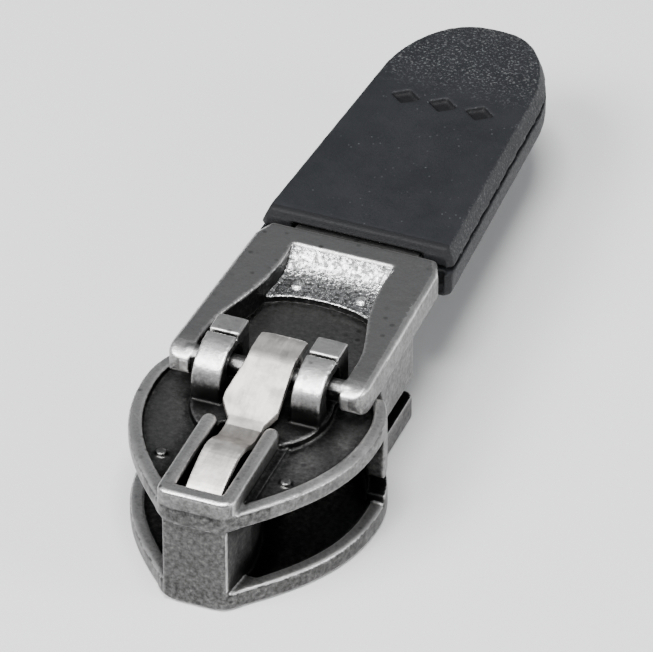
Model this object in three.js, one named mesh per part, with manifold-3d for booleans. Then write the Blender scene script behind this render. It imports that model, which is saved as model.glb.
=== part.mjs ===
// Auto-lock zipper slider with a rubber-gripped pull, for a No. 10 coil chain. Millimetres, +Z up.
// X runs across the slider, Y from the nose (-Y) to the tail (+Y), Z from the underside up to the
// crown. The pull lies back over the tail and turns about X at the crossbar.
import * as THREE from 'three';
import { mergeVertices } from 'three/addons/utils/BufferGeometryUtils.js';
import Module from 'manifold-3d';

const wasm = await Module();
wasm.setup();

// Heights in the slider body, from the underside up.
const LOWER_TOP = 1.2;
const SLOT_BOTTOM = 1.75;
const SLOT_TOP = 3.05;
const UPPER_UNDER = 5.9;
const RIM_TOP = 7.0;
const FIELD_TOP = 6.65;
const PAD_TOP = 6.85;
const BOSS_TOP = 7.2;
const RIDGE_TOP = 8.1;
const LUG_TOP = 10.2;

// Plan of the wings.
const UPPER_NOSE = -1.4;
const LOWER_NOSE = -1.25;
const NOSE_HALF = 2.7;
const POST_FRONT = -1.2;
const POCKET_OUTER = 2.4;
const SHOULDER_HALF = 7.5;
const SHOULDER_Y = 9.4;
const TAIL_HALF = 5.5;
const TAIL_STRAIGHT_Y = 15.6;
const UPPER_TAIL = 20.2;
const LOWER_TAIL = 20.0;
const DECK_Y = 12.6;
const WALL = 1.15;
const RIM = 0.85;
const FLANGE_START = 10.2;

// Nose pocket, crown boss and lugs.
const POCKET_HALF = 1.5;
const POCKET_FRONT = -0.2;
const POCKET_FLOOR = 6.3;
const RIDGE_END = 6.6;
const BOSS_RADIUS = 4.25;
const BOSS_Y = 9.6;
const LUG_IN = 2.2;
const LUG_OUT = 4.05;
const LUG_FRONT = 8.4;
const LUG_REAR = 13.2;
const SEAM_Y = 11.35;

// Locking spring, a bent strip.
const SPRING_T = 0.4;
const CLAW_END = 5.5;
const SPRING_LEFT = -1.15;
const SPRING_RIGHT = 1.75;
const SPRING_WIDE = -1.75;
const NECK_LEFT = -1.05;
const NECK_RIGHT = 1.2;

// Pull: the crossbar axis is the hinge.
const PIVOT_Y = 10.7;
const PIVOT_Z = 8.45;
const PULL_TILT = -2.4;
const BAR_R = 0.7;
const FRAME_TOP = 0.75;
const FRAME_UNDER = -1.1;
const FRAME_START = -0.9;
const FRAME_END = 13.7;
const FRAME_HALF_START = 6.3;
const FRAME_HALF_END = 5.9;
const NECK_HALF = 5.3;
const FRAME_ROUND = 0.5;
const WINDOW_HALF = 4.75;
const RAMP_HALF = 3.15;
const RAMP_END = 12.0;
const RAMP_FLOOR = -0.6;
const CRESCENT = 8.75;
const BLADE_HALF = 4.0;
const BLADE_TOP = 0.3;
const BLADE_UNDER = -0.7;
const BLADE_END = 32.0;

// Grip halves round the blade.
const GRIP_START = 13.8;
const LIP_UNDER = 0.6;
const CHEEK_START = 13.5;
const GRIP_END = 38.2;
const GRIP_HALF_START = 6.2;
const GRIP_HALF_END = 5.25;
const TIP_START = 31.4;
const GRIP_TOP = 1.2;
const GRIP_UNDER = -2.0;
const PARTING_TOP = 0.0;
const PARTING_UNDER = -0.3;
const GRIP_BEVEL = 0.45;
const DROOP_START = 31.0;
const DROOP_END = 0.5;
const LOZENGE_Y = 28.3;
const LOZENGE_DEPTH = 0.3;
const GAP = 0.3;

// ---- solids ---------------------------------------------------------------------------------

// A manifold solid from a closed three.js geometry.
function solid(geometry) {
  const bare = new THREE.BufferGeometry();
  bare.setAttribute('position', geometry.getAttribute('position'));
  if (geometry.index) bare.setIndex(geometry.index);
  const merged = mergeVertices(bare, 1e-5);
  const vertProperties = new Float32Array(merged.getAttribute('position').array);
  const triVerts = new Uint32Array(merged.index.array);
  return new wasm.Manifold(new wasm.Mesh({ numProp: 3, vertProperties, triVerts }));
}

// A shape extruded upwards, its edges bevelled inside the outline.
function prism(shape, z0, z1, bevel = 0, curveSegments = 10, bevelSegments = 2) {
  const geometry = new THREE.ExtrudeGeometry(shape, {
    depth: z1 - z0 - 2 * bevel,
    curveSegments,
    bevelEnabled: bevel > 0,
    bevelThickness: bevel,
    bevelSize: bevel,
    bevelOffset: -bevel,
    bevelSegments,
  });
  return solid(geometry.translate(0, 0, z0 + bevel));
}

// A shape extruded upwards with sloping sides: full size at z0, smaller all round at z1.
function drafted(shape, z0, z1, inset, curveSegments = 10) {
  const geometry = new THREE.ExtrudeGeometry(shape, {
    depth: 0.5,
    curveSegments,
    bevelThickness: z1 - z0,
    bevelSize: inset,
    bevelOffset: -inset,
    bevelSegments: 1,
  });
  return solid(geometry.translate(0, 0, z0 - 0.5)).intersect(block(-20, 20, -5, 60, z0, z1 + 1));
}

// A side profile drawn in Y and Z, extruded across X.
function sideways(shape, x0, x1, bevel = 0, curveSegments = 10) {
  const turn = new THREE.Matrix4().makeBasis(
    new THREE.Vector3(0, 1, 0), new THREE.Vector3(0, 0, 1), new THREE.Vector3(1, 0, 0));
  const geometry = new THREE.ExtrudeGeometry(shape, {
    depth: x1 - x0 - 2 * bevel,
    curveSegments,
    bevelEnabled: bevel > 0,
    bevelThickness: bevel,
    bevelSize: bevel,
    bevelOffset: -bevel,
    bevelSegments: 2,
  });
  return solid(geometry.translate(0, 0, x0 + bevel).applyMatrix4(turn));
}

function block(x0, x1, y0, y1, z0, z1) {
  const box = new THREE.BoxGeometry(x1 - x0, y1 - y0, z1 - z0);
  return solid(box.translate((x0 + x1) / 2, (y0 + y1) / 2, (z0 + z1) / 2));
}

function disc(x, y, radius, z0, z1, sides = 40) {
  const cylinder = new THREE.CylinderGeometry(radius, radius, z1 - z0, sides);
  return solid(cylinder.rotateX(Math.PI / 2).translate(x, y, (z0 + z1) / 2));
}

function polygon(points) {
  return new THREE.Shape(points.map(([x, y]) => new THREE.Vector2(x, y)));
}

function joined(solids) {
  return solids.reduce((sum, next) => sum.add(next));
}

// ---- slider body ----------------------------------------------------------------------------

// Side of a wing: swelling shoulders, then a waisted parallel tail.
function wingSide(half) {
  half.bezierCurveTo(5.4, 2.4, SHOULDER_HALF, 5.2, SHOULDER_HALF, SHOULDER_Y);
  half.bezierCurveTo(SHOULDER_HALF, 12.7, TAIL_HALF, 12.9, TAIL_HALF, TAIL_STRAIGHT_Y);
}

function bothSides(right) {
  const left = right.map((p) => new THREE.Vector2(-p.x, p.y)).reverse();
  return [...right, ...left];
}

// Outline of a wing, from its nose to its tail.
function wingPoints(nose, tail) {
  const half = new THREE.Path();
  half.moveTo(0, nose);
  half.lineTo(0.9, nose);
  half.quadraticCurveTo(2.1, nose, NOSE_HALF, nose + 1.0);
  wingSide(half);
  half.lineTo(TAIL_HALF, tail - 0.3);
  half.lineTo(TAIL_HALF - 0.3, tail);
  return bothSides(half.getPoints(16).slice(1));
}

// The wing's outline moved inwards by a distance, with plain corners.
function insetPoints(tail, distance) {
  const half = new THREE.Path();
  half.moveTo(NOSE_HALF, LOWER_NOSE + 1.0);
  wingSide(half);
  half.lineTo(TAIL_HALF, tail);
  const points = bothSides(half.getPoints(16));
  return points.map((p, i) => {
    const before = points[(i + points.length - 1) % points.length];
    const after = points[(i + 1) % points.length];
    const along = after.clone().sub(before).normalize();
    return new THREE.Vector2(p.x - along.y * distance, p.y + along.x * distance);
  });
}

function wing(nose, tail, z0, z1, bevel) {
  return prism(new THREE.Shape(wingPoints(nose, tail)), z0, z1, bevel);
}

// Side walls that hang from or stand on a wing, from the shoulders to the tail.
function flanges(tail, z0, z1) {
  const inside = prism(new THREE.Shape(insetPoints(tail + 5, WALL)), z0 - 1, z1 + 1);
  const behind = block(-9, 9, FLANGE_START, tail + 1, z0, z1);
  return wing(LOWER_NOSE, tail, z0, z1, 0).intersect(behind).subtract(inside);
}

function upperWing() {
  const field = prism(new THREE.Shape(insetPoints(UPPER_TAIL, RIM)), FIELD_TOP, RIM_TOP + 1);
  const pad = block(-2.9, 2.9, 0, BOSS_Y, FIELD_TOP - 0.3, PAD_TOP);
  const bumps = [-1, 1].map((side) => disc(side * 3.9, 3.6, 0.36, FIELD_TOP - 0.2, FIELD_TOP + 0.22, 16));
  const boss = disc(0, BOSS_Y, BOSS_RADIUS, FIELD_TOP - 0.3, BOSS_TOP);
  const deck = block(-9, 9, DECK_Y, UPPER_TAIL + 1, FIELD_TOP, RIM_TOP + 1);
  const plate = wing(UPPER_NOSE, UPPER_TAIL, UPPER_UNDER, RIM_TOP, 0.2).subtract(field);
  return joined([plate, pad, boss, ...bumps]).subtract(deck);
}

function lowerWing() {
  const field = prism(new THREE.Shape(insetPoints(LOWER_TAIL + 5, RIM)), LOWER_TOP - 0.2, 4);
  const keep = block(-9, 9, 1.2, LOWER_TAIL + 5, 0, 5);
  return wing(LOWER_NOSE, LOWER_TAIL, 0, LOWER_TOP, 0.2).subtract(field.intersect(keep));
}

// The diamond post that joins the wings and parts the chain.
function post() {
  const plan = new THREE.Shape();
  plan.moveTo(-1.7, POST_FRONT);
  plan.lineTo(1.7, POST_FRONT);
  plan.quadraticCurveTo(2.0, POST_FRONT, 2.0, POST_FRONT + 0.3);
  plan.lineTo(2.35, 2.0);
  plan.quadraticCurveTo(2.2, 5.2, 0, 8.4);
  plan.quadraticCurveTo(-2.2, 5.2, -2.35, 2.0);
  plan.lineTo(-2.0, POST_FRONT + 0.3);
  plan.quadraticCurveTo(-2.0, POST_FRONT, -1.7, POST_FRONT);
  return prism(plan, 0.3, 6.2, 0, 5);
}

// The horseshoe wall on the nose that holds the front end of the spring.
function nosePocket() {
  const outer = POCKET_OUTER;
  const front = UPPER_NOSE + 0.15;
  const wall = (outer - POCKET_HALF) / 2;
  const middle = (outer + POCKET_HALF) / 2;
  const plan = new THREE.Shape();
  plan.moveTo(-outer + 0.8, front);
  plan.lineTo(outer - 0.8, front);
  plan.quadraticCurveTo(outer, front, outer, front + 0.8);
  plan.lineTo(outer, RIDGE_END - wall);
  plan.absarc(middle, RIDGE_END - wall, wall, 0, Math.PI, false);
  plan.lineTo(POCKET_HALF, POCKET_FRONT);
  plan.lineTo(-POCKET_HALF, POCKET_FRONT);
  plan.lineTo(-POCKET_HALF, RIDGE_END - wall);
  plan.absarc(-middle, RIDGE_END - wall, wall, 0, Math.PI, false);
  plan.lineTo(-outer, front + 0.8);
  plan.quadraticCurveTo(-outer, front, -outer + 0.8, front);
  return prism(plan, 6.0, RIDGE_TOP, 0.25, 6);
}

// One lug: a hook that arches back over the crossbar and meets a short rear post at a seam.
function lug(side) {
  const outline = new THREE.Shape();
  outline.moveTo(LUG_FRONT, FIELD_TOP - 0.3);
  outline.lineTo(LUG_FRONT, 8.0);
  outline.bezierCurveTo(LUG_FRONT + 0.1, 9.5, 9.5, LUG_TOP, SEAM_Y, LUG_TOP);
  outline.lineTo(LUG_REAR - 0.25, LUG_TOP);
  outline.lineTo(LUG_REAR, LUG_TOP - 0.25);
  outline.lineTo(LUG_REAR, FIELD_TOP - 0.3);
  const eye = new THREE.Path();
  eye.moveTo(9.65, 7.2);
  eye.lineTo(12.0, 7.2);
  eye.lineTo(12.0, 8.6);
  eye.quadraticCurveTo(12.0, 9.45, 11.2, 9.45);
  eye.lineTo(10.5, 9.45);
  eye.quadraticCurveTo(9.65, 9.45, 9.65, 8.6);
  outline.holes.push(eye);
  const x0 = side > 0 ? LUG_IN : -LUG_OUT;
  const seam = block(-9, 9, SEAM_Y - 0.12, SEAM_Y + 0.12, LUG_TOP - 0.45, LUG_TOP + 1);
  return sideways(outline, x0, x0 + LUG_OUT - LUG_IN, 0, 16).subtract(seam);
}

function sliderBody() {
  const parts = [
    upperWing(), lowerWing(), post(), nosePocket(), lug(-1), lug(1),
    flanges(UPPER_TAIL, SLOT_TOP, UPPER_UNDER + 0.4), flanges(LOWER_TAIL, 0.5, SLOT_BOTTOM),
  ];
  const pocket = block(-POCKET_HALF, POCKET_HALF, POCKET_FRONT, RIDGE_END + 0.5, POCKET_FLOOR, 9);
  const clawWindow = block(-0.85, 1.45, 12.6, 14.2, 5, 8);
  return joined(parts).subtract(pocket).subtract(clawWindow);
}

// ---- locking spring -------------------------------------------------------------------------

// Strip centre line, from the end in the nose pocket, over the crossbar, down to the claw.
function springProfile() {
  const bend = new THREE.SplineCurve([
    [0.2, 6.85], [0.75, 7.45], [2.9, 8.12], [4.1, 8.0], [5.3, 7.45], [6.5, 7.4],
  ].map(([y, z]) => new THREE.Vector2(y, z)));
  const arch = new THREE.Path();
  arch.moveTo(7.2, 7.65);
  arch.lineTo(10.3, 9.68);
  arch.quadraticCurveTo(10.5, 9.8, 10.8, 9.8);
  arch.lineTo(12.05, 9.8);
  arch.quadraticCurveTo(12.85, 9.8, 13.0, 9.0);
  arch.lineTo(13.35, CLAW_END);
  const line = [...bend.getPoints(28), ...arch.getPoints(8)];
  const edge = (offset) => line.map((p, i) => {
    const before = line[Math.max(i - 1, 0)];
    const after = line[Math.min(i + 1, line.length - 1)];
    const along = after.clone().sub(before).normalize();
    return new THREE.Vector2(p.x - along.y * offset, p.y + along.x * offset);
  });
  return new THREE.Shape([...edge(SPRING_T / 2), ...edge(-SPRING_T / 2).reverse()]);
}

// Plan of the strip: narrow in the pocket, widest on the slope, narrow again at the claw.
function springPlan() {
  return polygon([
    [NECK_LEFT, -1], [NECK_RIGHT, -1], [NECK_RIGHT, 6.9], [SPRING_RIGHT, 7.7],
    [SPRING_RIGHT, 12.5], [1.1, 12.9], [1.1, 14], [-0.5, 14], [-0.5, 12.9], [SPRING_LEFT, 12.5],
    [SPRING_LEFT, 10.2], [SPRING_WIDE, 8.2], [SPRING_WIDE, 7.8], [NECK_LEFT, 6.9],
  ]);
}

function lockSpring() {
  return sideways(springProfile(), -3, 3).intersect(prism(springPlan(), 5, 11));
}

// ---- pull, drawn with its crossbar axis at the origin -----------------------------------------

// Inner edge of the window: wide round the lugs, drawn in beside the ramp, flared at its end.
function windowPlan(end) {
  const plan = new THREE.Shape();
  const waist = RAMP_HALF;
  plan.moveTo(WINDOW_HALF, -2);
  plan.lineTo(WINDOW_HALF, 1.5);
  plan.bezierCurveTo(WINDOW_HALF, 4.4, waist + 0.45, 5.4, waist + 0.15, 8.8);
  plan.quadraticCurveTo(waist - 0.05, 10.4, waist + 0.2, end);
  plan.lineTo(-waist - 0.2, end);
  plan.quadraticCurveTo(-waist + 0.05, 10.4, -waist - 0.15, 8.8);
  plan.bezierCurveTo(-waist - 0.45, 5.4, -WINDOW_HALF, 4.4, -WINDOW_HALF, 1.5);
  plan.lineTo(-WINDOW_HALF, -2);
  return plan;
}

function framePlan() {
  const plan = new THREE.Shape();
  const start = FRAME_HALF_START;
  plan.moveTo(-start + 1, FRAME_START);
  plan.lineTo(start - 1, FRAME_START);
  plan.quadraticCurveTo(start, FRAME_START, start, FRAME_START + 1.3);
  plan.lineTo(FRAME_HALF_END, FRAME_END - 1.4);
  plan.lineTo(NECK_HALF, FRAME_END);
  plan.lineTo(-NECK_HALF, FRAME_END);
  plan.lineTo(-FRAME_HALF_END, FRAME_END - 1.4);
  plan.lineTo(-start, FRAME_START + 1.3);
  plan.quadraticCurveTo(-start, FRAME_START, -start + 1, FRAME_START);
  return plan;
}

// Side view of the frame: rounded at the crossbar, flat above and below.
function frameProfile() {
  const side = new THREE.Shape();
  side.moveTo(0, FRAME_UNDER);
  side.lineTo(FRAME_END, FRAME_UNDER);
  side.lineTo(FRAME_END, FRAME_TOP);
  side.lineTo(1.2, FRAME_TOP);
  side.quadraticCurveTo(-0.9, FRAME_TOP, -0.9, 0);
  side.quadraticCurveTo(-0.9, FRAME_UNDER, 0, FRAME_UNDER);
  return side;
}

function blade() {
  const plan = new THREE.Shape();
  plan.moveTo(-BLADE_HALF, FRAME_END - 0.5);
  plan.lineTo(BLADE_HALF, FRAME_END - 0.5);
  plan.lineTo(BLADE_HALF - 0.6, BLADE_END - 2.5);
  plan.quadraticCurveTo(BLADE_HALF - 0.6, BLADE_END, BLADE_HALF - 3, BLADE_END);
  plan.lineTo(3 - BLADE_HALF, BLADE_END);
  plan.quadraticCurveTo(0.6 - BLADE_HALF, BLADE_END, 0.6 - BLADE_HALF, BLADE_END - 2.5);
  return prism(plan, BLADE_UNDER, BLADE_TOP, 0, 6);
}

// The through window: the plan as far as a crescent end that bulges towards the grip.
function opening() {
  const start = CRESCENT - 1.3;
  const crescent = new THREE.Shape().absellipse(0, start, RAMP_HALF + 0.4, 1.3, 0, 2 * Math.PI);
  const front = block(-9, 9, -3, start, -3, 3).add(prism(crescent, -3, 3));
  return prism(windowPlan(RAMP_END), -3, 3).intersect(front);
}

// The dished ramp behind the crescent: it sweeps down from the frame's top to a thin lip.
function rampRecess() {
  const dish = new THREE.Shape();
  dish.moveTo(4, RAMP_FLOOR);
  dish.lineTo(9.2, RAMP_FLOOR);
  dish.bezierCurveTo(10.6, RAMP_FLOOR, 11.4, -0.25, RAMP_END, FRAME_TOP + 0.05);
  dish.lineTo(RAMP_END, 3);
  dish.lineTo(4, 3);
  return prism(windowPlan(RAMP_END + 0.5), -3, 3).intersect(sideways(dish, -8, 8));
}

// Top edges fully rounded, lower edges only broken.
function frameSlab() {
  const rounded = prism(framePlan(), FRAME_UNDER, FRAME_TOP, FRAME_ROUND, 6, 4);
  const base = prism(framePlan(), FRAME_UNDER, FRAME_TOP - 2 * FRAME_ROUND, 0.15, 6);
  return rounded.add(base).intersect(sideways(frameProfile(), -8, 8));
}

function pullFrame() {
  const bar = new THREE.CylinderGeometry(BAR_R, BAR_R, 2 * WINDOW_HALF + 0.8, 20);
  const pips = [-2.05, 2.05].map((x) => disc(x, 9.6, 0.34, RAMP_FLOOR - 0.1, RAMP_FLOOR + 0.18, 16));
  const cut = frameSlab().subtract(opening()).subtract(rampRecess());
  return joined([cut, solid(bar.rotateZ(Math.PI / 2)), blade(), ...pips]);
}

// Outline of the grip at its parting line, where it is widest.
function gripPlan(start) {
  const plan = new THREE.Shape();
  const half = GRIP_HALF_END;
  plan.moveTo(-GRIP_HALF_START + 0.4, start);
  plan.lineTo(GRIP_HALF_START - 0.4, start);
  plan.lineTo(GRIP_HALF_START, start + 0.4);
  plan.lineTo(half, TIP_START);
  plan.bezierCurveTo(half - 0.25, GRIP_END - 4, 3.1, GRIP_END, 0.3, GRIP_END);
  plan.lineTo(-0.3, GRIP_END);
  plan.bezierCurveTo(-3.1, GRIP_END, 0.25 - half, GRIP_END - 4, -half, TIP_START);
  plan.lineTo(-GRIP_HALF_START, start + 0.4);
  return plan;
}

// Room for the blade, open to the front.
function bladeRoom() {
  const plan = new THREE.Shape();
  const half = BLADE_HALF + GAP;
  plan.moveTo(-half, GRIP_START - 1);
  plan.lineTo(half, GRIP_START - 1);
  plan.lineTo(half - 0.6, BLADE_END - 2);
  plan.quadraticCurveTo(half - 0.6, BLADE_END + GAP, half - 3, BLADE_END + GAP);
  plan.lineTo(3 - half, BLADE_END + GAP);
  plan.quadraticCurveTo(0.6 - half, BLADE_END + GAP, 0.6 - half, BLADE_END - 2);
  return prism(plan, BLADE_UNDER - GAP, BLADE_TOP + GAP, 0, 6);
}

// Room for the rear of the frame: between the cheeks of the lower half, under the upper half's lip.
function frameRoom(top) {
  const half = NECK_HALF + 0.15 + GAP;
  return block(-half, half, CHEEK_START - 1, FRAME_END + GAP, FRAME_UNDER - GAP, top);
}

// Everything under the grip's top face, which droops towards the far end.
function underTop() {
  const side = new THREE.Shape();
  side.moveTo(10, -5);
  side.lineTo(GRIP_END + 1, -5);
  side.lineTo(GRIP_END + 1, DROOP_END - 0.6);
  side.lineTo(GRIP_END, DROOP_END);
  side.quadraticCurveTo(GRIP_END - 1.2, GRIP_TOP - 0.05, DROOP_START, GRIP_TOP);
  side.lineTo(10, GRIP_TOP);
  return sideways(side, -9, 9, 0, 12);
}

// Three small lozenges sunk in the top face.
function lozenges() {
  return joined([-2.4, 0, 2.4].map((x) => {
    const plan = polygon([[x - 0.95, 0], [x, -0.75], [x + 0.95, 0], [x, 0.75]]);
    return prism(plan, GRIP_TOP - LOZENGE_DEPTH, GRIP_TOP + 1).translate([0, LOZENGE_Y, 0]);
  }));
}

function gripUpper() {
  const shell = drafted(gripPlan(GRIP_START), PARTING_TOP, GRIP_TOP, GRIP_BEVEL, 8);
  const empty = joined([bladeRoom(), frameRoom(LIP_UNDER), lozenges()]);
  return shell.intersect(underTop()).subtract(empty);
}

function gripLower() {
  const tray = prism(gripPlan(CHEEK_START), GRIP_UNDER, 2, GRIP_BEVEL, 8)
    .intersect(block(-9, 9, 0, 50, -5, PARTING_UNDER));
  return tray.subtract(bladeRoom()).subtract(frameRoom(PARTING_TOP));
}

// ---- nodes ----------------------------------------------------------------------------------

function node(name, body, color, roughness, metalness) {
  const { vertProperties, triVerts, numProp } = body.getMesh();
  const position = new Float32Array((vertProperties.length / numProp) * 3);
  for (let i = 0; i < position.length; i += 1) {
    position[i] = vertProperties[Math.floor(i / 3) * numProp + (i % 3)];
  }
  const geometry = new THREE.BufferGeometry();
  geometry.setAttribute('position', new THREE.BufferAttribute(position, 3));
  geometry.setIndex(new THREE.BufferAttribute(new Uint32Array(triVerts), 1));
  geometry.computeVertexNormals();
  const material = new THREE.MeshStandardMaterial({ color, roughness, metalness });
  const mesh = new THREE.Mesh(geometry, material);
  mesh.name = name;
  return mesh;
}

const slider = new THREE.Group();
slider.name = 'slider';
slider.add(node('slider_body', sliderBody(), 0x6f6f6d, 0.45, 0.9));
slider.add(node('lock_spring', lockSpring(), 0xb9b6b0, 0.25, 1.0));

const pull = new THREE.Group();
pull.name = 'pull';
pull.position.set(0, PIVOT_Y, PIVOT_Z);
pull.rotation.x = THREE.MathUtils.degToRad(PULL_TILT);
pull.add(node('pull_frame', pullFrame(), 0x737372, 0.45, 0.9));
pull.add(node('grip_upper', gripUpper(), 0x2c2e31, 0.8, 0.0));
pull.add(node('grip_lower', gripLower(), 0x2c2e31, 0.8, 0.0));

const zipper = new THREE.Group();
zipper.name = 'zipper_slider';
zipper.add(slider, pull);

export default zipper;
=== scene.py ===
"""Looks of the auto-lock zipper slider: cast nickel body and pull, bright spring strip, soft grip."""
import math

import bpy
import numpy as np
from mathutils import Matrix, Vector

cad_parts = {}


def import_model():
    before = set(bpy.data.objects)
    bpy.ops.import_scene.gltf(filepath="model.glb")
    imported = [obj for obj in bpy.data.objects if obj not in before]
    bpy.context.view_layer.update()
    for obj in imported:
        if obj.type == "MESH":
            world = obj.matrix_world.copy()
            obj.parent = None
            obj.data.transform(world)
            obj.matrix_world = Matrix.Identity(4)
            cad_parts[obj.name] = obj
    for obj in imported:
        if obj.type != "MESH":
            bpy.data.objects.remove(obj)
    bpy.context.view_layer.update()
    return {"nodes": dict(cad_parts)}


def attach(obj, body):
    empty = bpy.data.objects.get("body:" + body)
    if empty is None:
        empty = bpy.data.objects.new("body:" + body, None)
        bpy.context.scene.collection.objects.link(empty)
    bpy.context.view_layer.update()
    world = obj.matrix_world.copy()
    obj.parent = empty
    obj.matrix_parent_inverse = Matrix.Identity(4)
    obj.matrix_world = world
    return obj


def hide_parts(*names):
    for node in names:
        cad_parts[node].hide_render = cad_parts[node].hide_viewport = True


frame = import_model()

MM = 0.001

# Crossbar axis of the pull, and how far the pull droops at rest.
PIVOT = (0, 10.7, 8.45)
PULL_TILT = -2.4

# Middle of the crown boss, of the mark on the grip, and of the right-hand pip on the ramp.
BOSS_Y = 9.6
MARK_Y = 28.3
PIP_X = 2.05
PIP_Y = 9.6

# How dark each zone is painted, and how bright others, from 0 to 1. The sunk field, the boss and the insides
# carry the blackening of the antique finish and painted shade over it. The hooks, darkest low down, and the
# lug flanks are painted shade. The rims and ridges are bright with wear and carry painted highlight, and the
# crowns of the lugs are painted highlight. The outer walls, the front of the post and the deck are painted
# shade, toned down only to suit the lamps of this scene: their plating is the same as that of the faces
# beside them.
BODY_BLACK_AND_SHADE = {
    "sunk_field": 0.62,
    "boss": 0.70,
    "hooks": 0.95,
    "lug_flanks": 0.85,
    "upper_walls": 0.70,
    "lower_walls": 0.86,
    "flange_sides": 0.74,
    "post_front": 0.84,
    "nose_front": 0.68,
    "deck": 0.50,
    "insides": 0.86,
}
BODY_WEAR_AND_HIGHLIGHT = {"rims": 0.75, "ridges": 0.6, "crowns": 1.0}
# Frame: painted shade on the walls of the window (over the antique blackening there), on the crossbar
# between the lugs, on the underside and on the outer sides; painted highlight on the bevels, the bar ends
# and the pips of the ramp.
FRAME_BLACK_AND_SHADE = {"window_walls": 1.0, "crossbar": 0.55, "underside": 0.15, "outer_sides": 0.66}
FRAME_PAINTED_HIGHLIGHT = {"bevels": 0.8, "bar_ends": 0.5, "pips": 1.0}
# Grip: painted glints on the far end and the drafted sides; painted shade on the floors of the mark and on
# the front face.
GRIP_PAINTED_GLINTS = {"far_end": 1.0, "drafted_sides": 0.6}
GRIP_PAINTED_SHADE = {"mark_floors": 1.0, "front": 0.85}

# The front top edge of the grip, rolled over: where it starts and ends, and how deep it goes.
ROLL_START = 13.8
ROLL_END = 15.0
ROLL_DEPTH = 0.30

# Light: sky strength in front of and behind the part, then the lamps, each with its place, the
# spot it is aimed at, its size and its watts.
SKY_FRONT = 0.40
SKY_BACK = 0.16
LAMPS = (
    ("key", (-150, -210, 300), (0, 8, 5), (230, 170), 2.0),
    ("overhead", (20, -60, 400), (0, 8, 5), (170, 120), 1.9),
    ("side", (330, 20, 120), (0, 12, 5), (120, 200), 0.6),
)

# The floor sheet: half its side, and how far below the part's underside it lies.
FLOOR_HALF = 3000
FLOOR_DROP = 0.03

# Camera: a long lens from the front right, above.
AZIMUTH = 21.83
ELEVATION = 38.06
ROLL = -0.34
FOCAL = 507.1
TARGET = (10.9, -7.4, 28.3)
DISTANCE = 510.0


# ---- shapes ---------------------------------------------------------------------------------


def link(obj):
    bpy.context.scene.collection.objects.link(obj)
    return obj


def baked(obj):
    """The object's mesh with its modifiers applied, as a new mesh."""
    bpy.context.view_layer.update()
    graph = bpy.context.evaluated_depsgraph_get()
    mesh = bpy.data.meshes.new_from_object(obj.evaluated_get(graph))
    obj.modifiers.clear()
    obj.data = mesh
    return obj


def softened(node, name, voxel, passes):
    """A CAD node worked over as a casting or moulding is: every edge rounded, no facets left.

    The work is done in millimetres. voxel is the grid step and passes the smoothing steps."""
    mesh = frame["nodes"][node].data.copy()
    mesh.transform(Matrix.Scale(1 / MM, 4))
    mesh.materials.clear()
    piece = link(bpy.data.objects.new(name, mesh))
    remesh = piece.modifiers.new("grid", "REMESH")
    remesh.mode = "VOXEL"
    remesh.voxel_size = voxel
    smooth = piece.modifiers.new("round", "SMOOTH")
    smooth.factor = 0.5
    smooth.iterations = passes
    baked(piece)
    piece.data.shade_smooth()
    return piece


def finished(piece, node, body, slot_name, *materials):
    """Puts the piece back in metres, gives it its materials, and hands it to the frame."""
    piece.data.transform(Matrix.Scale(MM, 4))
    for material in materials:
        piece.data.materials.append(material)
    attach(piece, body)
    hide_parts(node)
    return piece


# ---- where the blackening, the painted shade and the painted highlight go ---------------------


def corners(mesh):
    """Positions and normals of the mesh's vertices, in millimetres."""
    place = np.empty(len(mesh.vertices) * 3)
    normal = np.empty(len(mesh.vertices) * 3)
    mesh.vertices.foreach_get("co", place)
    mesh.vertices.foreach_get("normal", normal)
    return place.reshape(-1, 3), normal.reshape(-1, 3)


def laid_flat(place, normal):
    """The same, measured in the pull: x across, y along it from the crossbar, z above its middle."""
    tilt = math.radians(PULL_TILT)
    turn = np.array([[1, 0, 0], [0, math.cos(tilt), math.sin(tilt)], [0, -math.sin(tilt), math.cos(tilt)]])
    return (place - np.array(PIVOT)) @ turn.T, normal @ turn.T


def ramped(value, low, high):
    return np.clip((value - low) / (high - low), 0, 1)


def mark(mesh, name, amount):
    layer = mesh.attributes.new(name, "FLOAT", "POINT")
    layer.data.foreach_set("value", np.clip(amount, 0, 1).astype(np.float32))


def band(value, low, high):
    return (value > low) & (value < high)


def paint(mesh, name, zones, amounts):
    """Marks each vertex with the largest amount of the zones it lies in."""
    mark(mesh, name, np.maximum.reduce([amounts[zone] * zones[zone] for zone in amounts]))


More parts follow.
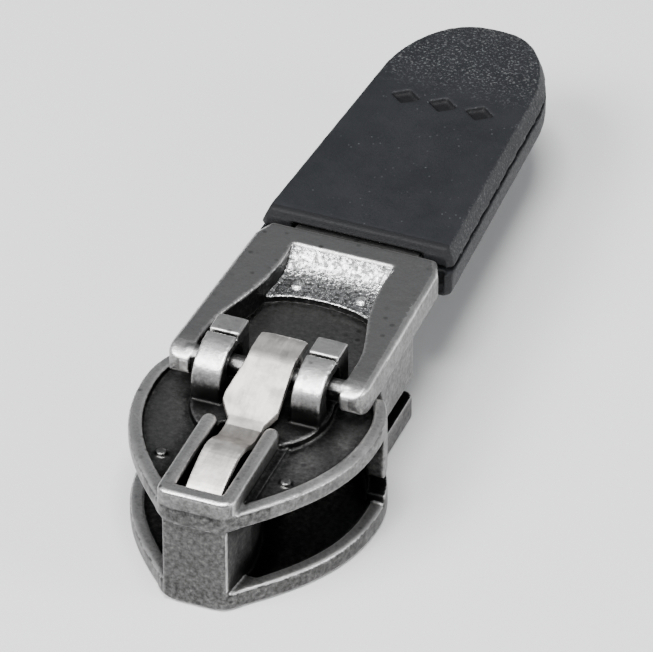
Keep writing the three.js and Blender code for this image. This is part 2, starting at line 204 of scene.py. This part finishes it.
def zones_of_body(mesh):
    """The zones of the slider body, each as a weight on every vertex."""
    (x, y, z), (nx, ny, nz) = (rows.T for rows in corners(mesh))
    across = np.abs(x)
    outward = (across > 4.6) & (nx * np.sign(x) + ny * (y > 17) > 0.35)
    upright = np.abs(nz) < 0.6
    wall = upright & (z < 7.0)
    nose = (y < 1.0) & (ny < -0.3)
    channel = band(z, 1.35, 5.95) & (y > -0.85) & ~outward
    channel_floor = band(z, 0.4, 1.1) & (nz > 0.6)
    pocket = (across < 1.56) & band(y, -0.3, 7.7) & band(z, 6.2, 7.7)
    lugs = (z > 7.1) & band(y, 8.0, 13.6) & (across > 2.0)
    off_boss = np.hypot(x, y - BOSS_Y)
    rim_heights = band(z, 6.92, 7.1) | band(z, 1.1, 1.32)
    return {
        "sunk_field": band(z, 6.3, 6.92) & (nz > 0.5),
        "boss": band(z, 6.8, 7.35) & (y > 5.2) & (off_boss < 4.3),
        "hooks": (lugs & (ny < -0.3)) * (1 - ramped(z, 8.2, 9.3)),
        "lug_flanks": lugs & (np.abs(nx) > 0.5) & (z < 10.0),
        "upper_walls": wall & (z > 5.85),
        "lower_walls": wall & (z < 1.4),
        "flange_sides": wall & outward,
        "post_front": wall & nose,
        "nose_front": upright & nose & (z > 5.8),
        "deck": band(z, 6.4, 7.3) & (y > 11.0) & (nz > 0.5) & (across < 5.0),
        "insides": channel | channel_floor | pocket,
        "rims": (off_boss > 4.5) & (y < 12.5) & (nz > 0.3) & rim_heights,
        "ridges": (z > 7.8) & (y < 7.4) & (nz > 0.2),
        "crowns": lugs & (z > 9.3),
    }


def zones_of_frame(mesh):
    """The zones of the pull frame, each as a weight on every vertex."""
    (x, y, z), (_, _, nz) = (rows.T for rows in laid_flat(*corners(mesh)))
    across = np.abs(x)
    window = (across < 4.95) & band(y, -0.75, 12.0)
    return {
        "window_walls": window & (z < 0.55) & (np.abs(nz) < 0.5),
        "crossbar": (across < 4.7) & (y < 0.9),
        "underside": (z < -0.9) & (nz < -0.5),
        "outer_sides": (across > 5.3) & (np.abs(nz) < 0.4),
        "bevels": (z > 0.1) & band(nz, 0.25, 0.96) & ~window,
        "bar_ends": (np.hypot(y, z) < 0.85) & (across > 4.2),
        "pips": (np.hypot(across - PIP_X, y - PIP_Y) < 0.36) & (z < 0.2) & (nz > 0.3),
    }


def zones_of_grip(mesh):
    """The zones of either grip half, each as a weight on every vertex."""
    (x, y, z), (nx, ny, nz) = (rows.T for rows in laid_flat(*corners(mesh)))
    return {
        "far_end": ramped(y, 29.0, 32.0),
        "drafted_sides": (np.abs(nx) > 0.3) & (nz > -0.3),
        "mark_floors": band(z, 0.7, 1.12) & (np.abs(x) < 3.6) & (np.abs(y - MARK_Y) < 0.9),
        "front": (y < 14.7) & (ny < -0.12),
    }


def spring_highlight_and_shade(mesh):
    """Bright on the hump, toe and flat, duller on the slope and trough, to suit this scene's lamps."""
    (_, y, _), (_, ny, _) = (rows.T for rows in corners(mesh))
    slope = ramped(-ny, 0.10, 0.40) * ramped(y, 4.6, 5.6)
    trough = (1 - ramped(np.abs(y - 5.4), 0.9, 1.5)) * 0.9
    mark(mesh, "wear_and_highlight", 1 - np.maximum(slope, trough))


def rolled_front(piece):
    """Rolls the front top edge of the grip over, down to the frame."""
    mesh = piece.data
    place, normal = corners(mesh)
    _, y, z = laid_flat(place, normal)[0].T
    back = 1 - ramped(y, ROLL_START, ROLL_END)
    place[:, 2] -= ROLL_DEPTH * back**2 * ramped(z, 0.6, 1.1)
    mesh.vertices.foreach_set("co", place.ravel())
    mesh.update()
    return piece


def ramp_surface(mesh):
    """Gives the dished ramp, between the crescent and the grip, its own sanded surface."""
    place = np.empty(len(mesh.polygons) * 3)
    normal = np.empty(len(mesh.polygons) * 3)
    mesh.polygons.foreach_get("center", place)
    mesh.polygons.foreach_get("normal", normal)
    (x, y, z), (_, _, nz) = (rows.T for rows in laid_flat(place.reshape(-1, 3), normal.reshape(-1, 3)))
    dish = (np.abs(x) < 3.4) & band(y, 7.4, 11.96) & band(z, -0.85, 0.60) & (nz > 0.4)
    mesh.polygons.foreach_set("material_index", dish.astype(np.int32))


# ---- materials ------------------------------------------------------------------------------


class Nodes:
    """Short calls for building one material's node tree."""

    def __init__(self, name):
        self.material = bpy.data.materials.new(name)
        self.material.use_nodes = True
        self.tree = self.material.node_tree
        self.shader = self.tree.nodes["Principled BSDF"]
        self.place = self.add("ShaderNodeTexCoord").outputs["Object"]

    def add(self, kind, **settings):
        node = self.tree.nodes.new(kind)
        for key, value in settings.items():
            setattr(node, key, value)
        return node

    def put(self, socket, value):
        if isinstance(value, bpy.types.NodeSocket):
            self.tree.links.new(value, socket)
        else:
            socket.default_value = value

    def noise(self, size_mm, detail=3.0, roughness=0.6, stretch=(1, 1, 1)):
        """Noise whose grain is about size_mm across."""
        place = self.place
        if stretch != (1, 1, 1):
            mapping = self.add("ShaderNodeMapping")
            mapping.inputs["Scale"].default_value = stretch
            self.put(mapping.inputs["Vector"], place)
            place = mapping.outputs["Vector"]
        node = self.add("ShaderNodeTexNoise")
        self.put(node.inputs["Vector"], place)
        node.inputs["Scale"].default_value = 1 / (size_mm * MM)
        node.inputs["Detail"].default_value = detail
        node.inputs["Roughness"].default_value = roughness
        return node.outputs["Fac"]

    def specks(self, spacing_mm, radius):
        """Small separate dots, 1 inside a dot and 0 outside."""
        cells = self.add("ShaderNodeTexVoronoi")
        self.put(cells.inputs["Vector"], self.place)
        cells.inputs["Scale"].default_value = 1 / (spacing_mm * MM)
        return self.span(cells.outputs["Distance"], radius, radius * 0.5)

    def span(self, value, low, high, out_low=0.0, out_high=1.0):
        node = self.add("ShaderNodeMapRange")
        self.put(node.inputs["Value"], value)
        for key, number in zip(("From Min", "From Max", "To Min", "To Max"), (low, high, out_low, out_high)):
            node.inputs[key].default_value = number
        return node.outputs["Result"]

    def maths(self, operation, a, b):
        node = self.add("ShaderNodeMath", operation=operation)
        self.put(node.inputs[0], a)
        self.put(node.inputs[1], b)
        return node.outputs[0]

    def mix(self, factor, a, b):
        node = self.add("ShaderNodeMix", data_type="RGBA")
        self.put(node.inputs[0], factor)
        self.put(node.inputs[6], a)
        self.put(node.inputs[7], b)
        return node.outputs[2]

    def openness(self, reach_mm):
        """1 on an open face, falling to 0 deep in a hollow of the same piece: used for painted shade."""
        node = self.add("ShaderNodeAmbientOcclusion", only_local=True, samples=8)
        node.inputs["Distance"].default_value = reach_mm * MM
        return node.outputs["AO"]

    def marked(self, name):
        """An amount painted on the mesh's vertices."""
        return self.add("ShaderNodeAttribute", attribute_name=name).outputs["Fac"]

    def edges(self, low, high):
        """1 on outer edges."""
        point = self.add("ShaderNodeNewGeometry").outputs["Pointiness"]
        return self.span(point, low, high)

    def bump(self, height, depth_mm, normal=None):
        node = self.add("ShaderNodeBump")
        node.inputs["Strength"].default_value = 1.0
        node.inputs["Distance"].default_value = depth_mm * MM
        self.put(node.inputs["Height"], height)
        if normal is not None:
            self.put(node.inputs["Normal"], normal)
        return node.outputs["Normal"]

    def set(self, **values):
        for key, value in values.items():
            self.put(self.shader.inputs[key.replace("_", " ")], value)
        return self.material


def grey(value, warm=0.0):
    return (value * (1 + warm), value, value * (1 - warm), 1)


def cast_nickel(name, wear_and_highlight_grey, open_face, black_and_shade):
    """Tumbled antique nickel on a zinc casting: blackening and painted shade in the hollows, edges bright
    with wear and painted highlight.
    """
    n = Nodes(name)
    mottle = n.noise(0.30, 4.0, 0.7)
    blotch = n.noise(2.4, 4.0)
    tone = n.maths("ADD", n.maths("MULTIPLY", blotch, 0.45), n.maths("MULTIPLY", mottle, 0.55))
    face = n.mix(n.span(tone, 0.36, 0.64), grey(open_face * 0.66, 0.01), grey(open_face * 1.15, 0.01))
    # Edges bright with wear, with painted highlight on them, plus the painted amount of wear and highlight
    # from the vertices.
    wear_and_highlight = n.maths("ADD", n.edges(0.504, 0.542), n.maths("MULTIPLY", n.marked("wear_and_highlight"), 0.8))
    wear_and_highlight = n.maths("ADD", wear_and_highlight, n.span(mottle, 0.3, 0.7, -0.30, 0.30))
    face = n.mix(n.span(wear_and_highlight, 0.15, 0.95), face, grey(wear_and_highlight_grey, 0.012))
    # Painted shade: ambient occlusion and the painted amount of blackening and shade darken the hollows and
    # the toned-down walls towards the near-black grey.
    depth = n.maths("ADD", n.openness(1.6), n.span(mottle, 0.3, 0.7, -0.08, 0.08))
    depth = n.maths("SUBTRACT", depth, n.maths("MULTIPLY", n.marked("black_and_shade"), 0.78))
    colour = n.mix(n.span(depth, 0.22, 0.95), grey(black_and_shade, 0.02), face)
    stain = n.maths("MULTIPLY", n.specks(0.8, 0.26), n.span(blotch, 0.45, 0.6))
    colour = n.mix(n.maths("MULTIPLY", stain, 0.6), colour, grey(black_and_shade, 0.02))
    grain = n.bump(n.noise(0.085, 3.0, 0.6), 0.006)
    sand = n.bump(n.noise(0.26, 3.0, 0.6), 0.016, grain)
    waves = n.bump(n.noise(1.1, 3.0, 0.5), 0.035, sand)
    return n.set(
        Base_Color=colour,
        Metallic=1.0,
        Roughness=n.span(tone, 0.3, 0.7, 0.46, 0.30),
        Normal=waves,
    )


def sand_nickel(name):
    """The sand-textured, bright face of the ramp."""
    n = Nodes(name)
    sand = n.noise(0.25, 3.0, 0.65)
    colour = n.mix(n.span(sand, 0.42, 0.60), grey(0.16), grey(0.95))
    # Painted highlight: the pips, marked on the vertices, turn bright.
    colour = n.mix(n.marked("wear_and_highlight"), colour, grey(0.95))
    rough = n.bump(sand, 0.07)
    fine = n.bump(n.noise(0.08, 2.0), 0.014, rough)
    return n.set(Base_Color=colour, Metallic=1.0, Roughness=n.span(sand, 0.3, 0.7, 0.36, 0.20), Normal=fine)


def bright_nickel(name):
    """Rolled spring strip with a warm bright plating."""
    n = Nodes(name)
    streak = n.noise(0.25, 4.0, 0.6, stretch=(1, 0.15, 0.15))
    cloud = n.noise(1.2, 4.0)
    dull = n.mix(n.span(cloud, 0.38, 0.62), grey(0.30, 0.055), grey(0.50, 0.05))
    bright = n.mix(n.span(cloud, 0.38, 0.62), grey(0.62, 0.045), grey(0.88, 0.035))
    # Painted highlight and painted shade: the painted amount from the vertices picks the bright or the dull
    # plating.
    colour = n.mix(n.marked("wear_and_highlight"), dull, bright)
    # Painted shade: the creases go dark by ambient occlusion.
    colour = n.mix(n.span(n.openness(0.9), 0.25, 0.75), grey(0.14, 0.03), colour)
    grain = n.bump(n.noise(0.10, 2.0), 0.005)
    return n.set(
        Base_Color=colour,
        Metallic=1.0,
        Roughness=n.span(streak, 0.3, 0.7, 0.54, 0.42),
        Normal=n.bump(streak, 0.006, grain),
    )


def grip_rubber(name):
    """Soft black rubber with a fine moulded grain and pale dust caught in it; painted glints near the far
    end and on the sides, painted shade in the mark floors and at the front.
    """
    n = Nodes(name)
    grain = n.noise(0.16, 4.0, 0.7)
    patch = n.noise(2.6, 4.0)
    colour = n.mix(n.span(patch, 0.35, 0.65), (0.009, 0.010, 0.012, 1), (0.014, 0.015, 0.018, 1))
    dust = n.maths("MULTIPLY", n.specks(0.45, 0.16), n.span(n.noise(1.8, 2.0), 0.50, 0.68))
    colour = n.mix(n.maths("MULTIPLY", dust, 0.3), colour, (0.22, 0.23, 0.23, 1))
    # Painted glints: pale grain on the far end and on the drafted sides, where the glossy rubber catches the
    # lamps.
    glints = n.maths("MULTIPLY", n.span(n.noise(0.17, 2.0, 0.7), 0.54, 0.72), n.marked("painted_glints"))
    colour = n.mix(n.maths("MULTIPLY", glints, 0.36), colour, (0.30, 0.31, 0.31, 1))
    # Painted shade: the floors of the mark and the front face go near black.
    colour = n.mix(n.marked("black_and_shade"), colour, (0.003, 0.003, 0.004, 1))
    rough = n.bump(grain, 0.035)
    return n.set(
        Base_Color=colour,
        Metallic=0.0,
        Roughness=n.span(grain, 0.3, 0.7, 0.74, 0.54),
        Normal=n.bump(n.noise(0.06, 2.0), 0.008, rough),
        Specular_IOR_Level=0.34,
    )


# ---- the pieces -----------------------------------------------------------------------------

NICKEL = cast_nickel("cast_nickel", 0.78, 0.46, 0.016)
SAND = sand_nickel("sand_nickel")
BRIGHT = bright_nickel("bright_nickel")
RUBBER = grip_rubber("grip_rubber")

body = softened("slider_body", "body_casting", 0.09, 5)
body_zones = zones_of_body(body.data)
# Blackening with painted shade, then wear with painted highlight, painted on the body's vertices.
paint(body.data, "black_and_shade", body_zones, BODY_BLACK_AND_SHADE)
paint(body.data, "wear_and_highlight", body_zones, BODY_WEAR_AND_HIGHLIGHT)
finished(body, "slider_body", "body", "cast_body", NICKEL)

strip = softened("lock_spring", "spring_strip", 0.05, 4)
# Painted highlight and painted shade on the strip.
spring_highlight_and_shade(strip.data)
finished(strip, "lock_spring", "spring", "spring_strip", BRIGHT)

pull = softened("pull_frame", "pull_casting", 0.09, 5)
pull_zones = zones_of_frame(pull.data)
# Painted shade and painted highlight on the frame's vertices.
paint(pull.data, "black_and_shade", pull_zones, FRAME_BLACK_AND_SHADE)
paint(pull.data, "wear_and_highlight", pull_zones, FRAME_PAINTED_HIGHLIGHT)
for material in (NICKEL, SAND):
    pull.data.materials.append(material)
ramp_surface(pull.data)
finished(pull, "pull_frame", "pull", "cast_pull")

for half, name in (("grip_upper", "grip_top"), ("grip_lower", "grip_base")):
    moulding = rolled_front(softened(half, name, 0.10, 4))
    grip_zones = zones_of_grip(moulding.data)
    # Painted glints and painted shade on the grip's vertices.
    paint(moulding.data, "painted_glints", grip_zones, GRIP_PAINTED_GLINTS)
    paint(moulding.data, "black_and_shade", grip_zones, GRIP_PAINTED_SHADE)
    finished(moulding, half, "pull", "grip_rubber", RUBBER)


# ---- floor, light, camera -------------------------------------------------------------------


def floor():
    mesh = bpy.data.meshes.new("floor")
    half = FLOOR_HALF * MM
    low = -FLOOR_DROP * MM
    sheet = [(-half, -half, low), (half, -half, low), (half, half, low), (-half, half, low)]
    mesh.from_pydata(sheet, [], [(0, 1, 2, 3)])
    plane = link(bpy.data.objects.new("floor", mesh))
    n = Nodes("floor_paper")
    n.set(Base_Color=(0.86, 0.86, 0.86, 1), Roughness=0.9)
    mesh.materials.append(n.material)


def softbox(name, place, aim, size, watts):
    lamp = bpy.data.lights.new(name, "AREA")
    lamp.shape = "RECTANGLE"
    lamp.size, lamp.size_y = (side * MM for side in size)
    lamp.energy = watts
    obj = link(bpy.data.objects.new(name, lamp))
    obj.location = Vector(place) * MM
    obj.rotation_euler = (Vector(aim) - Vector(place)).to_track_quat("-Z", "Y").to_euler()


def world():
    """A dim room, darkest behind the part, so that level metal faces read dark."""
    sky = bpy.data.worlds.new("studio")
    sky.use_nodes = True
    tree = sky.node_tree
    place = tree.nodes.new("ShaderNodeTexCoord").outputs["Generated"]
    split = tree.nodes.new("ShaderNodeSeparateXYZ")
    tree.links.new(place, split.inputs[0])
    ramp = tree.nodes.new("ShaderNodeMapRange")
    tree.links.new(split.outputs["Y"], ramp.inputs["Value"])
    for key, number in (("From Min", -0.6), ("From Max", 0.5), ("To Min", SKY_FRONT), ("To Max", SKY_BACK)):
        ramp.inputs[key].default_value = number
    shade = tree.nodes["Background"]
    shade.inputs["Color"].default_value = (0.92, 0.95, 1.0, 1)
    tree.links.new(ramp.outputs["Result"], shade.inputs["Strength"])
    bpy.context.scene.world = sky


def camera():
    a, e, r = (math.radians(x) for x in (AZIMUTH, ELEVATION, ROLL))
    back = Vector((math.sin(a) * math.cos(e), -math.cos(a) * math.cos(e), math.sin(e)))
    level = Vector((math.cos(a), math.sin(a), 0))
    above = back.cross(level)
    right = level * math.cos(r) + above * math.sin(r)
    up = above * math.cos(r) - level * math.sin(r)
    lens = bpy.data.cameras.new("camera")
    lens.lens = FOCAL
    lens.sensor_width = 36.0
    lens.clip_start = 0.01
    obj = link(bpy.data.objects.new("camera", lens))
    turn = Matrix((right, up, back)).transposed().to_4x4()
    obj.matrix_world = Matrix.Translation((Vector(TARGET) + back * DISTANCE) * MM) @ turn
    bpy.context.scene.camera = obj


floor()
world()
for lamp in LAMPS:
    softbox(*lamp)
camera()
